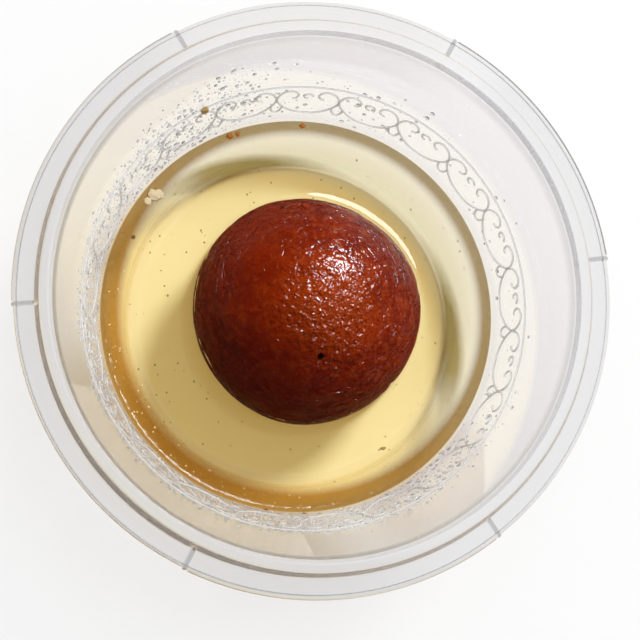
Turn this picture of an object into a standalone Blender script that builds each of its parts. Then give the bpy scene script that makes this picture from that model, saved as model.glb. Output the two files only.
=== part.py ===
"""A gulab jamun in light syrup, in a clear round takeaway pot.

The pot is one injection moulding: a foot ring, a tapered wall and a stepped
rim with three grip beads and six short ribs. Syrup fills it a little over a
third, and one fried milk dumpling rests on its floor, half under the syrup.

Metres, +Z up. The origin is the centre of the pot's foot, on the surface that
the pot stands on.
"""

import math

import bmesh
import bpy
from mathutils import Vector

MM = 0.001

# Driving dimensions: the pot
POT_HEIGHT = 55.6 * MM
LIP_RADIUS = 48.5 * MM  # inner face of the wall, at the very top
WALL_TAPER = math.radians(14.7)  # lean of the wall away from upright
WALL = 0.9 * MM
FLOOR_TOP = 1.2 * MM
CORNER = 3.0 * MM  # inner radius between floor and wall
FOOT_WIDTH = 2.4 * MM
FOOT_RECESS = 0.5 * MM  # how far the middle of the base is raised off the table
FOOT_DISH = 14.0 * MM  # radius of the raised middle, from which the base slopes down to the foot

# Driving dimensions: the rim, from the lip outwards
LIP_TOP_WIDTH = 0.8 * MM
LIP_ROUND = 0.5 * MM
LEDGE_INNER = 51.05 * MM
LEDGE_OUTER = 52.25 * MM
LEDGE_HEIGHT = 53.4 * MM
RIM_PLATE = 0.9 * MM  # thickness of the ledge and of the sloping skirt
SKIRT_RADIUS = 54.8 * MM
SKIRT_DROP = 0.6 * MM  # fall of the sloping part, from the ledge to the skirt's round edge
SKIRT_ROUND = 0.8 * MM
SKIRT_BOTTOM = 51.3 * MM
SKIRT_WALL = 0.7 * MM

# Driving dimensions: ribs and grip beads on the rim
RIB_ANGLES = (8, 62, 119, 183, 244, 307)  # degrees round the rim
RIB_RADIUS = 0.45 * MM
BEAD_RADIUS = 0.6 * MM
BEAD_STANDS_OUT = 0.3 * MM
BEAD_END_GAP = 1.0  # degrees between a bead's end and its rib

# Driving dimensions: the filling
SYRUP_LEVEL = 22.2 * MM
DUMPLING_RADIUS = 22.5 * MM
DUMPLING_OFFSET = (1.6 * MM, 0.7 * MM)  # it lies a little off the pot's axis
FLAT_SPOT = 0.3 * MM  # how much its underside is pressed flat
GAP = 0.3 * MM  # between neighbouring pieces

# Broad swellings and flats of the hand-rolled ball: azimuth and elevation in
# degrees, width in degrees, and height as a share of the radius
DUMPLING_LUMPS = (
    (148, 15, 42, 0.022),
    (258, 5, 30, 0.018),
    (60, 12, 36, -0.040),
    (282, 20, 14, -0.018),
    (5, -20, 40, 0.012),
    (330, 62, 16, -0.014),
    (200, 55, 26, 0.010),
)

# Faceting
POT_STEPS = 64
DUMPLING_SEGMENTS = 48
DUMPLING_RINGS = 24
BEAD_POINTS = 12
CORNER_POINTS = 4
ROUND_POINTS = 2

COLLECTION = "gulab_jamun_in_pot"


def clear_scene():
    for obj in list(bpy.data.objects):
        bpy.data.objects.remove(obj, do_unlink=True)


def new_collection(name):
    collection = bpy.data.collections.new(name)
    bpy.context.scene.collection.children.link(collection)
    return collection


def plastic_material():
    """Clear polypropylene."""
    material = bpy.data.materials.new("clear_plastic")
    material.use_nodes = True
    bsdf = material.node_tree.nodes["Principled BSDF"]
    bsdf.inputs["Base Color"].default_value = (0.93, 0.94, 0.95, 1)
    bsdf.inputs["Roughness"].default_value = 0.12
    bsdf.inputs["IOR"].default_value = 1.49
    bsdf.inputs["Transmission Weight"].default_value = 0.9
    return material


def syrup_material():
    """Thin sugar syrup, straw yellow."""
    material = bpy.data.materials.new("sugar_syrup")
    material.use_nodes = True
    bsdf = material.node_tree.nodes["Principled BSDF"]
    bsdf.inputs["Base Color"].default_value = (0.86, 0.66, 0.26, 1)
    bsdf.inputs["Roughness"].default_value = 0.05
    bsdf.inputs["IOR"].default_value = 1.42
    bsdf.inputs["Transmission Weight"].default_value = 0.8
    return material


def dumpling_material():
    """Deep-fried milk dough, soaked and glossy."""
    material = bpy.data.materials.new("fried_dough")
    material.use_nodes = True
    bsdf = material.node_tree.nodes["Principled BSDF"]
    bsdf.inputs["Base Color"].default_value = (0.22, 0.030, 0.008, 1)
    bsdf.inputs["Roughness"].default_value = 0.28
    bsdf.inputs["Metallic"].default_value = 0.0
    return material


def wall_radius(height):
    """Inner radius of the tapered wall at a height above the table."""
    return LIP_RADIUS - (POT_HEIGHT - height) * math.tan(WALL_TAPER)


def arc(centre, radius, start, end, count):
    """Points (r, z) on an arc, with angles in radians from outwards to up."""
    points = []
    for i in range(count + 1):
        angle = start + (end - start) * i / count
        points.append((centre[0] + radius * math.cos(angle), centre[1] + radius * math.sin(angle)))
    return points


def corner_arc(floor, radius, inset):
    """The round from a floor at this height, outwards and up into the wall.

    inset is how far the wall's line lies inside the pot's inner face, so a
    negative inset gives the outer face.
    """
    # The arc's centre is a radius above the floor and a radius from the wall's line.
    height = floor + radius
    across = (radius + inset) / math.cos(WALL_TAPER)
    centre = (wall_radius(height) - across, height)
    return arc(centre, radius, math.radians(-90), -WALL_TAPER, CORNER_POINTS)


def pot_profile():
    """Half section of the pot: up the inside, over the rim and down the outside."""
    outer_wall = WALL / math.cos(WALL_TAPER)
    lip_outer = LIP_RADIUS + LIP_ROUND + LIP_TOP_WIDTH
    lip_centre = POT_HEIGHT - LIP_ROUND
    under_ledge = LEDGE_HEIGHT - RIM_PLATE
    skirt_edge = LEDGE_HEIGHT - SKIRT_DROP
    skirt_inner = SKIRT_RADIUS - SKIRT_WALL

    inside = [(0.0, FLOOR_TOP)] + corner_arc(FLOOR_TOP, CORNER, 0.0)
    lip = arc(
        (LIP_RADIUS + LIP_ROUND, lip_centre), LIP_ROUND, math.radians(180), math.radians(90), ROUND_POINTS
    )
    lip += arc((lip_outer, lip_centre), LIP_ROUND, math.radians(90), math.radians(30), ROUND_POINTS)
    ledge = [(LEDGE_INNER, LEDGE_HEIGHT), (LEDGE_OUTER, LEDGE_HEIGHT)]
    skirt = arc(
        (SKIRT_RADIUS - SKIRT_ROUND, skirt_edge - SKIRT_ROUND),
        SKIRT_ROUND,
        math.radians(80),
        0.0,
        ROUND_POINTS + 1,
    )
    skirt += [(SKIRT_RADIUS, SKIRT_BOTTOM), (skirt_inner, SKIRT_BOTTOM)]
    underside = [
        (skirt_inner, skirt_edge - RIM_PLATE),
        (LEDGE_OUTER, under_ledge),
        (wall_radius(under_ledge) + outer_wall, under_ledge),
    ]
    outside = list(reversed(corner_arc(0.0, CORNER + WALL, -WALL)))
    foot_outer = outside[-1][0]
    foot = [
        (foot_outer - FOOT_WIDTH, 0.0),
        (FOOT_DISH, FOOT_RECESS),
        (0.0, FOOT_RECESS),
    ]
    return inside + lip + ledge + skirt + underside + outside + foot


def syrup_profile():
    """Half section of the syrup, a gap inside the pot, from its level down to its base."""
    inset = GAP
    base = FLOOR_TOP + GAP
    corner = list(reversed(corner_arc(base, CORNER - GAP, inset)))
    edge = (wall_radius(SYRUP_LEVEL) - inset / math.cos(WALL_TAPER), SYRUP_LEVEL)
    return [(0.0, SYRUP_LEVEL), edge] + corner + [(0.0, base)]


def turned(name, profile, collection, material):
    """A solid of revolution: an edge profile in the XZ plane with a Screw modifier."""
    mesh = bpy.data.meshes.new(name)
    edges = [(i, i + 1) for i in range(len(profile) - 1)]
    mesh.from_pydata([(r, 0.0, z) for r, z in profile], edges, [])
    obj = bpy.data.objects.new(name, mesh)
    collection.objects.link(obj)
    mesh.materials.append(material)
    screw = obj.modifiers.new("turn", "SCREW")
    screw.axis = "Z"
    screw.angle = 2 * math.pi
    screw.steps = POT_STEPS
    screw.render_steps = POT_STEPS
    screw.use_merge_vertices = True
    screw.merge_threshold = 0.00001
    screw.use_smooth_shade = True
    return obj


def wire(name, points, radius, collection):
    """A round bar along points, as a closed mesh, to be joined to the pot."""
    curve = bpy.data.curves.new(name, "CURVE")
    curve.dimensions = "3D"
    curve.bevel_depth = radius
    curve.bevel_resolution = 1
    curve.use_fill_caps = True
    spline = curve.splines.new("POLY")
    spline.points.add(len(points) - 1)
    for point, place in zip(spline.points, points):
        point.co = (*place, 1.0)
    guide = bpy.data.objects.new(name + "_guide", curve)
    collection.objects.link(guide)

    depsgraph = bpy.context.evaluated_depsgraph_get()
    mesh = bpy.data.meshes.new_from_object(guide.evaluated_get(depsgraph))
    mesh.name = name
    bm = bmesh.new()
    bm.from_mesh(mesh)
    bmesh.ops.remove_doubles(bm, verts=bm.verts, dist=0.00001)
    bmesh.ops.recalc_face_normals(bm, faces=bm.faces)
    bm.to_mesh(mesh)
    bm.free()
    bpy.data.objects.remove(guide, do_unlink=True)

    obj = bpy.data.objects.new(name, mesh)
    obj.hide_render = True
    obj.display_type = "WIRE"
    collection.objects.link(obj)
    return obj


def round_the_axis(radius, height, degrees):
    angle = math.radians(degrees)
    return (radius * math.cos(angle), radius * math.sin(angle), height)


def add_ribs(collection):
    """Six round ribs, each half sunk in the rim, from the lip's foot over the skirt's edge."""
    skirt_edge = LEDGE_HEIGHT - SKIRT_DROP
    section = (
        (LEDGE_INNER - 0.3 * MM, LEDGE_HEIGHT + 0.1 * MM),
        (LEDGE_OUTER, LEDGE_HEIGHT - 0.1 * MM),
        (SKIRT_RADIUS - SKIRT_ROUND, skirt_edge - 0.15 * MM),
        (SKIRT_RADIUS - 0.4 * MM, skirt_edge - 0.6 * MM),
        (SKIRT_RADIUS - 0.3 * MM, skirt_edge - SKIRT_ROUND),
    )
    for number, degrees in enumerate(RIB_ANGLES, 1):
        points = [round_the_axis(r, z, degrees) for r, z in section]
        wire(f"rib_{number}", points, RIB_RADIUS, collection)


def add_grip_beads(collection):
    """Three beads round the skirt, each from one rib to the next."""
    radius = SKIRT_RADIUS + BEAD_STANDS_OUT - BEAD_RADIUS
    height = SKIRT_BOTTOM + BEAD_RADIUS + 0.13 * MM
    for number, first in enumerate(RIB_ANGLES[::2], 1):
        start = first + BEAD_END_GAP
        end = RIB_ANGLES[2 * number - 1] - BEAD_END_GAP
        turn = (end - start) / BEAD_POINTS
        points = [round_the_axis(radius, height, start + turn * i) for i in range(BEAD_POINTS + 1)]
        wire(f"grip_bead_{number}", points, BEAD_RADIUS, collection)


def add_pot(parts):
    """The moulding, with its ribs and grip beads joined into one solid."""
    pot = turned("pot", pot_profile(), parts, plastic_material())
    for name, build in (("ribs", add_ribs), ("grip_beads", add_grip_beads)):
        additions = new_collection(name)
        build(additions)
        union = pot.modifiers.new("join_" + name, "BOOLEAN")
        union.operation = "UNION"
        union.solver = "EXACT"
        union.operand_type = "COLLECTION"
        union.collection = additions
    return pot


def dumpling_radius(direction):
    """Distance from the ball's centre to its skin along a unit direction."""
    swell = 0.0
    for azimuth, elevation, width, height in DUMPLING_LUMPS:
        a = math.radians(azimuth)
        e = math.radians(elevation)
        middle = Vector((math.cos(a) * math.cos(e), math.sin(a) * math.cos(e), math.sin(e)))
        away = direction.angle(middle) / math.radians(width)
        swell += height * math.exp(-away * away)
    return DUMPLING_RADIUS * (1.0 + swell)


def dumpling_mesh(name, grow=0.0):
    """The lumpy ball with its flat spot; grow moves its skin outwards all over."""
    bm = bmesh.new()
    bmesh.ops.create_uvsphere(bm, u_segments=DUMPLING_SEGMENTS, v_segments=DUMPLING_RINGS, radius=1.0)
    lowest = FLAT_SPOT - DUMPLING_RADIUS - grow
    for vert in bm.verts:
        direction = vert.co.normalized()
        vert.co = direction * (dumpling_radius(direction) + grow)
        vert.co.z = max(vert.co.z, lowest)
    mesh = bpy.data.meshes.new(name)
    bm.to_mesh(mesh)
    bm.free()
    mesh.shade_smooth()
    return mesh


def dumpling_centre():
    height = FLOOR_TOP + GAP + DUMPLING_RADIUS - FLAT_SPOT
    return Vector((*DUMPLING_OFFSET, height))


def add_dumpling(parts):
    mesh = dumpling_mesh("gulab_jamun")
    mesh.materials.append(dumpling_material())
    dumpling = bpy.data.objects.new("gulab_jamun", mesh)
    dumpling.location = dumpling_centre()
    parts.objects.link(dumpling)
    return dumpling


def add_syrup(parts, cutters):
    """The syrup, cut round the dumpling with a gap all over."""
    syrup = turned("syrup", syrup_profile(), parts, syrup_material())
    room = bpy.data.objects.new("room_for_the_dumpling", dumpling_mesh("room_for_the_dumpling", GAP))
    room.location = dumpling_centre()
    room.hide_render = True
    room.display_type = "WIRE"
    cutters.objects.link(room)
    cut = syrup.modifiers.new("cut_round_the_dumpling", "BOOLEAN")
    cut.operation = "DIFFERENCE"
    cut.solver = "EXACT"
    cut.object = room
    return syrup


def main():
    clear_scene()
    parts = new_collection(COLLECTION)
    cutters = new_collection("cutters")
    add_pot(parts)
    add_dumpling(parts)
    add_syrup(parts, cutters)


main()
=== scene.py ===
# %% [markdown]
# # Gulab jamun in a clear pot
#
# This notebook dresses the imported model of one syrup-soaked milk dumpling in its clear takeaway
# pot. Each step says what the real piece is, how it could be made, and why it is made this way.
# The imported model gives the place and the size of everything, so it is loaded first.

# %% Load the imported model
import math

import bmesh
import bpy
import numpy as np
from mathutils import Matrix, Vector, noise


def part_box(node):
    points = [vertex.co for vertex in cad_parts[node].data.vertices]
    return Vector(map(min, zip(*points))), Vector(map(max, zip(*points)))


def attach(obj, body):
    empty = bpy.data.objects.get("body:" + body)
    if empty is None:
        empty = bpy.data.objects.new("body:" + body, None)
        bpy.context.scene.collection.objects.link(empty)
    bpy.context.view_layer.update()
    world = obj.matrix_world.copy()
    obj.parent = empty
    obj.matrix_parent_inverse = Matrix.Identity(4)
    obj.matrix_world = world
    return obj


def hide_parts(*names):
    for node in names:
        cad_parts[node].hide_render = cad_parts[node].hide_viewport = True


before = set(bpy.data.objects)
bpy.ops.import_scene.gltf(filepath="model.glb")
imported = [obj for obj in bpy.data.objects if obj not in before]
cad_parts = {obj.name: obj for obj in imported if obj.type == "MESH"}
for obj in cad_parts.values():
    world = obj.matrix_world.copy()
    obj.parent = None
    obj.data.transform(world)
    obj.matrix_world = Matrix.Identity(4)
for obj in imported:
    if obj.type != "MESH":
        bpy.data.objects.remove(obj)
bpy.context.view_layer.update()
MM = 0.001
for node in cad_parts:
    low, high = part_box(node)
    print(node, [round(v / MM, 2) for v in (*low, *high)], "mm")

# %% [markdown]
# ## Camera, table and light
#
# The pot is seen from almost straight above by a long lens, a little to its front left. A pale
# table lies under it. One lamp, high at the back right, gives the soft shadows. Shadow rays pass
# through clear plastic and syrup in a straight line, though real light bends as it enters the
# syrup, so this lamp stands a little steeper than the highlight on the dumpling says. Three more
# lamps, seen only in reflections, make the highlights: a weak one for the lace, the drops and the
# syrup's edge, a strong one for the dumpling alone, whose skin mirrors little but the lamp, and a
# broad one that makes a pale halo where the syrup climbs the dumpling.

# %% Small helpers for nodes and objects
scene = bpy.context.scene


def new_material(name):
    """An empty material with its output: (material, nodes, links, output)."""
    material = bpy.data.materials.new(name)
    material.use_nodes = True
    nodes, links = material.node_tree.nodes, material.node_tree.links
    nodes.clear()
    return material, nodes, links, nodes.new("ShaderNodeOutputMaterial")


def make_object(name, data, *materials):
    """An object at the origin for finished data, with its materials."""
    piece = bpy.data.objects.new(name, data)
    scene.collection.objects.link(piece)
    for material in materials:
        data.materials.append(material)
    return piece


def report(piece):
    """Print a piece's size and triangle count."""
    piece.data.calc_loop_triangles()
    corners = np.array([v.co for v in piece.data.vertices])
    low, high = corners.min(0) / MM, corners.max(0) / MM
    print(piece.name, len(piece.data.loop_triangles), "triangles,", low.round(2), "to", high.round(2), "mm")


def add_node(nodes, kind, inputs, **settings):
    """A node with these settings and inputs: values, or sockets or nodes to link from."""
    node = nodes.new(kind)
    for label, value in settings.items():
        setattr(node, label, value)
    for label, value in inputs.items():
        socket = node.inputs[label]
        value = value.outputs[0] if isinstance(value, bpy.types.Node) else value
        if isinstance(value, bpy.types.NodeSocket):
            nodes.id_data.links.new(value, socket)
        elif socket.type == "RGBA":
            socket.default_value = (*value[:3], 1)
        else:
            socket.default_value = value
    return node


def maths(operation, *values):
    """One maths node. Each value is a number or a socket, and at least one is a socket."""
    nodes = next(v for v in values if isinstance(v, bpy.types.NodeSocket)).id_data.nodes
    return add_node(nodes, "ShaderNodeMath", dict(enumerate(values)), operation=operation).outputs[0]


def ease(value, low, high, start=0.0, end=1.0, way="SMOOTHSTEP"):
    """A value that goes from start to end while another goes from low to high."""
    inputs = {"Value": value, "From Min": low, "From Max": high, "To Min": start, "To Max": end}
    return add_node(value.id_data.nodes, "ShaderNodeMapRange", inputs, interpolation_type=way).outputs[0]


def blend(mask, below, above, how="MIX"):
    """One colour laid over another by a mask. Each is a colour or a socket."""
    sides = {0: mask, 6: below, 7: above}
    return add_node(mask.id_data.nodes, "ShaderNodeMix", sides, data_type="RGBA", blend_type=how).outputs[2]


def both(mask, other):
    """The share where two masks meet."""
    return maths("MULTIPLY", mask, other)


def along(x, y, angle):
    """How far a place lies in the direction of an angle."""
    return maths("MULTIPLY_ADD", x, math.cos(angle), maths("MULTIPLY", y, math.sin(angle)))


def object_place(nodes):
    """The Object coordinates' socket, and its x, y and z."""
    place = nodes.new("ShaderNodeTexCoord").outputs["Object"]
    return place, *add_node(nodes, "ShaderNodeSeparateXYZ", {0: place}).outputs


# %% Camera
camera_data = bpy.data.cameras.new("camera")
camera_data.sensor_width = 36.0
camera_data.lens = 86.4
camera_data.clip_start = 0.01
camera = make_object("camera", camera_data)
camera.location = Vector((-36.93, -37.13, 327.0)) * MM
camera.rotation_euler = (Matrix.Rotation(-0.1342, 3, "Y") @ Matrix.Rotation(0.1160, 3, "X")).to_euler()
scene.camera = camera
scene.view_settings.view_transform = "Standard"
# Light crosses plastic, syrup and drops many times here, so its path may be long
scene.cycles.max_bounces = 24
scene.cycles.transmission_bounces = 24
scene.cycles.transparent_max_bounces = 24
scene.cycles.caustics_reflective = False
scene.cycles.blur_glossy = 0.0

# %% Table
TABLE_WHITE = 0.86
table_paint, nodes, links, output = new_material("pale table")
table_colour = (TABLE_WHITE, TABLE_WHITE, TABLE_WHITE * 0.995)
paint = add_node(nodes, "ShaderNodeBsdfDiffuse", {"Color": table_colour})
# Light that crosses the syrup sideways comes out amber under the pot. A traced path rarely finds
# it, so the table glows a little there.
GLOW_RADIUS = 36.0 * MM
GLOW_SOFTNESS = 2.0 * MM
GLOW_STRENGTH = 0.255
place = nodes.new("ShaderNodeTexCoord").outputs["Object"]
glow_middle = (-3.0 * MM, -3.0 * MM, 0.0)
from_middle = add_node(nodes, "ShaderNodeVectorMath", {0: place, 1: glow_middle}, operation="DISTANCE")
outside, inside = GLOW_RADIUS + GLOW_SOFTNESS, GLOW_RADIUS - GLOW_SOFTNESS
glow_share = ease(from_middle.outputs["Value"], outside, inside, 0.0, GLOW_STRENGTH, "LINEAR")
glow_paint = add_node(nodes, "ShaderNodeEmission", {"Color": (1.0, 0.60, 0.06), "Strength": glow_share})
glowing = add_node(nodes, "ShaderNodeAddShader", {0: paint, 1: glow_paint})
links.new(glowing.outputs[0], output.inputs["Surface"])
table_mesh = bpy.data.meshes.new("table")
half = 3.0
below = -0.05 * MM
corners = [(-half, -half, below), (half, -half, below), (half, half, below), (-half, half, below)]
table_mesh.from_pydata(corners, [], [(0, 1, 2, 3)])
table = make_object("table", table_mesh, table_paint)
report(table)

# %% Lamps and surroundings
LAMP_AZIMUTH = math.radians(52)  # from +X towards +Y


def add_lamp(name, tilt, size, distance, watts):
    """A round lamp facing the dumpling, tilted from straight above towards the back right."""
    lamp = bpy.data.lights.new(name, "AREA")
    lamp.shape = "DISK"
    lamp.size = size
    lamp.energy = watts
    holder = make_object(name, lamp)
    away = Vector(
        (math.sin(tilt) * math.cos(LAMP_AZIMUTH), math.sin(tilt) * math.sin(LAMP_AZIMUTH), math.cos(tilt))
    )
    holder.location = away * distance + Vector((0, 0, 0.02))
    holder.rotation_euler = away.to_track_quat("Z", "Y").to_euler()
    holder.visible_camera = False
    print(name, watts, "W,", round(math.degrees(tilt)), "degrees from straight above")
    return holder


key_lamp = add_lamp("key_lamp", math.radians(33), 0.48, 2.4, 44.0)
key_lamp.visible_glossy = False
key_lamp.visible_transmission = False
glint_lamp = add_lamp("glint_lamp", math.radians(44), 0.22, 1.2, 2.2)
shine_lamp = add_lamp("shine_lamp", math.radians(44), 0.30, 1.2, 120.0)
halo_lamp = add_lamp("halo_lamp", math.radians(33), 0.50, 1.2, 10.0)
for lamp in (glint_lamp, shine_lamp, halo_lamp):
    lamp.visible_diffuse = False
    lamp.visible_transmission = False

world = bpy.data.worlds.new("studio")
scene.world = world
world.use_nodes = True
world.cycles.sampling_method = "NONE"
sky = world.node_tree.nodes
sky.clear()
sky_output = sky.new("ShaderNodeOutputWorld")


def background(colour, strength=1.0):
    """Surroundings of one colour, which may come from a socket, as may their strength."""
    return add_node(sky, "ShaderNodeBackground", {"Color": colour, "Strength": strength})


def either(choice, first, second):
    """The first surroundings where the choice is 0 and the second where it is 1."""
    return add_node(sky, "ShaderNodeMixShader", {0: choice, 1: first, 2: second})


# The room is bright low down and dark overhead, and brighter on the side of the lamps
where = sky.new("ShaderNodeTexCoord")
x, y, up = add_node(sky, "ShaderNodeSeparateXYZ", {0: where.outputs["Generated"]}).outputs
ramp = add_node(sky, "ShaderNodeValToRGB", {0: up})
ramp.color_ramp.elements.new(0.16)
greys = ((0.0, (0.75, 0.75, 0.76)), (0.16, (0.16, 0.16, 0.165)), (0.45, (0.08, 0.08, 0.084)))
for stop, (height, grey) in zip(ramp.color_ramp.elements, greys):
    stop.position = height
    stop.color = (*grey, 1)
room = background(ramp.outputs[0], ease(along(x, y, LAMP_AZIMUTH), -0.7, 0.6, 0.40, 1.10))
# Rays that have come through plastic look up into a paler part of the room
ray = sky.new("ShaderNodeLightPath").outputs
upward = maths("MULTIPLY", ease(up, 0.10, 0.45), ray["Is Transmission Ray"])
seen = either(upward, room, background((0.42, 0.42, 0.43)))
# Light that has met the table comes from an even room, and what lies past the table is nearly white
seen = either(maths("GREATER_THAN", ray["Diffuse Depth"], 0.5), seen, background((0.52, 0.52, 0.53)))
seen = either(ray["Is Camera Ray"], seen, background((0.86, 0.86, 0.86)))
world.node_tree.links.new(seen.outputs[0], sky_output.inputs["Surface"])

# %% [markdown]
# ## The pot
#
# The real pot is injection moulded: one skin that runs up the inside, over a stepped rim and down
# the outside to a foot ring. Every corner has a small round, because plastic doesn't fill a sharp
# edge. It could be turned with the Screw modifier, but the six ribs across the rim and the three
# grip beads under it would then need Booleans. Here the section is swept round by hand, and each
# point is lifted along the section's normal where a rib or a bead stands out, so the whole pot
# stays one clean skin.

# %% Sizes of the pot
POT_HEIGHT = 55.6 * MM
LIP_RADIUS = 48.5 * MM
WALL_TAPER = math.radians(14.7)
WALL = 0.9 * MM
FLOOR_TOP = 1.2 * MM
CORNER = 3.0 * MM
FOOT_WIDTH = 2.4 * MM
FOOT_RECESS = 0.5 * MM
FOOT_DISH = 14.0 * MM
LEDGE_INNER = 51.05 * MM
LEDGE_OUTER = 52.25 * MM
LEDGE_HEIGHT = 53.4 * MM
LIP_EDGE = 50.13 * MM
RIM_PLATE = 0.9 * MM
SKIRT_RADIUS = 54.8 * MM
SKIRT_EDGE = 52.57 * MM
SKIRT_BOTTOM = 51.3 * MM
SKIRT_WALL = 0.7 * MM
RIB_ANGLES = (8, 62, 119, 183, 244, 307)
RIB_RADIUS = 0.45 * MM
BEAD_RADIUS = 0.6 * MM
BEAD_STANDS_OUT = 0.3 * MM


def wall_radius(height):
    """Inner radius of the tapered wall at a height above the table."""
    return LIP_RADIUS - (POT_HEIGHT - height) * math.tan(WALL_TAPER)


def rounded(corners, step=math.radians(12)):
    """A section through these corners (r, z, round), each corner eased to its own radius."""
    points = []
    for i, (r, z, soft) in enumerate(corners):
        here = np.array((r, z))
        if soft == 0 or i in (0, len(corners) - 1):
            points.append(here)
            continue
        back = np.array(corners[i - 1][:2]) - here
        ahead = np.array(corners[i + 1][:2]) - here
        back, ahead = back / np.linalg.norm(back), ahead / np.linalg.norm(ahead)
        half = math.acos(np.clip(back @ ahead, -1, 1)) / 2
        middle = here + (back + ahead) / np.linalg.norm(back + ahead) * soft / math.sin(half)
        start = here + back * soft / math.tan(half) - middle
        end = here + ahead * soft / math.tan(half) - middle
        turn = math.acos(np.clip(start @ end / soft**2, -1, 1))
        count = max(3, math.ceil(turn / step))
        for k in range(count + 1):
            t = k / count
            spoke = start * math.sin((1 - t) * turn) + end * math.sin(t * turn)
            points.append(middle + spoke / math.sin(turn))
    return points


def divided(points, guard, longest):
    """The section with a point close to each end of a straight run, and none further apart than longest."""
    made = [points[0]]
    for a, b in zip(points, points[1:]):
        length = float(np.linalg.norm(b - a))
        if length > 3 * guard:
            stops = np.linspace(guard, length - guard, math.ceil(length / longest(a, b)) + 1)
            made += [a + (b - a) * s / length for s in stops]
        made.append(b)
    return np.array(made)


outer_wall = WALL / math.cos(WALL_TAPER)
under_ledge = LEDGE_HEIGHT - RIM_PLATE
outer_corner = CORNER + WALL
foot_outer = wall_radius(outer_corner) - CORNER / math.cos(WALL_TAPER)
pot_section = rounded(
    [
        (0, FLOOR_TOP, 0),
        (wall_radius(FLOOR_TOP), FLOOR_TOP, CORNER),
        (LIP_RADIUS, POT_HEIGHT, 0.45 * MM),
        (LIP_EDGE, POT_HEIGHT, 0.45 * MM),
        (LEDGE_INNER, LEDGE_HEIGHT, 0.3 * MM),
        (LEDGE_OUTER, LEDGE_HEIGHT, 0.3 * MM),
        (SKIRT_RADIUS, SKIRT_EDGE, 0.8 * MM),
        (SKIRT_RADIUS, SKIRT_BOTTOM, 0.12 * MM),
        (SKIRT_RADIUS - SKIRT_WALL, SKIRT_BOTTOM, 0.12 * MM),
        (SKIRT_RADIUS - SKIRT_WALL, SKIRT_EDGE - 0.67 * MM, 0.2 * MM),
        (LEDGE_OUTER, under_ledge, 0.3 * MM),
        (wall_radius(under_ledge) + outer_wall, under_ledge, 0.3 * MM),
        (wall_radius(0) + outer_wall, 0, outer_corner),
        (foot_outer - FOOT_WIDTH, 0, 8 * MM),
        (FOOT_DISH, FOOT_RECESS, 8 * MM),
        (0, FOOT_RECESS, 0),
    ]
)


def longest_run(a, b):
    """How far apart the points between two corners of the pot's section may be."""
    on_top_of_rim = min(a[0], b[0]) > 50.5 * MM and a[1] > SKIRT_BOTTOM
    return 0.3 * MM if on_top_of_rim else 4 * MM


pot_section = divided(pot_section, 0.1 * MM, longest_run)
print("pot section", len(pot_section), "points")

# %% Skins swept from rings of points


def smooth_mesh(name, points, faces):
    """A closed, smooth mesh whose faces point outwards."""
    mesh = bpy.data.meshes.new(name)
    mesh.from_pydata(points, [], faces)
    shape = bmesh.new()
    shape.from_mesh(mesh)
    bmesh.ops.recalc_face_normals(shape, faces=shape.faces)
    if shape.calc_volume(signed=True) < 0:
        bmesh.ops.reverse_faces(shape, faces=shape.faces)
    shape.to_mesh(mesh)
    shape.free()
    mesh.shade_smooth()
    return mesh


def skin(name, rings):
    """A closed mesh through rings of points. The first and last ring are single points."""
    count = len(rings[1])
    points = np.concatenate([np.atleast_2d(r) for r in rings])
    starts = np.cumsum([0] + [len(np.atleast_2d(r)) for r in rings])
    here = np.arange(count)
    ahead = (here + 1) % count
    faces = [(int(starts[1] + a), int(starts[1] + b), 0) for a, b in zip(here, ahead)]
    for i in range(1, len(rings) - 2):
        low, high = starts[i], starts[i + 1]
        faces += np.stack([low + here, high + here, high + ahead, low + ahead], 1).tolist()
    last = int(starts[-2])
    faces += [(int(starts[-3] + b), int(starts[-3] + a), last) for a, b in zip(here, ahead)]
    return smooth_mesh(name, points.tolist(), faces)


def section_normals(section):
    """Unit normals of an open section, pointing out of the plastic."""
    along = np.gradient(section, axis=0)
    along /= np.linalg.norm(along, axis=1)[:, None]
    return np.stack([-along[:, 1], along[:, 0]], 1)


# %% Ribs and grip beads, as heights over the section
pot_normals = section_normals(pot_section)
angles = set(np.linspace(0, 2 * math.pi, 289)[:-1].round(6))
for degrees in RIB_ANGLES:
    for across in np.linspace(-0.5, 0.5, 13) * MM:
        angles.add(round((math.radians(degrees) + across / SKIRT_RADIUS) % (2 * math.pi), 6))
bead_ends = []
for before, after in zip(RIB_ANGLES[::2], RIB_ANGLES[1::2]):
    bead_ends += [math.radians(before + 1.0), math.radians(after - 1.0)]
for end in bead_ends:
    for across in np.linspace(-0.6, 0.6, 9) * MM:
        angles.add(round(end + across / SKIRT_RADIUS, 6))
angles = np.array(sorted(angles))


def rib_height(r, z, normal):
    """Height of the nearest rib over a point of the section, for every angle."""
    if normal[1] < 0.05 and normal[0] < 0.5 or z < SKIRT_EDGE - 1.0 * MM or r < LEDGE_INNER - 0.3 * MM:
        return np.zeros(len(angles))
    middle = np.radians(RIB_ANGLES)
    away = np.abs((angles[:, None] - middle[None, :] + math.pi) % (2 * math.pi) - math.pi).min(1) * r
    over_end = max(0.0, SKIRT_EDGE - 0.3 * MM - z)
    return np.sqrt(np.clip(RIB_RADIUS**2 - away**2 - over_end**2, 0, None)) * 0.8


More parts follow.
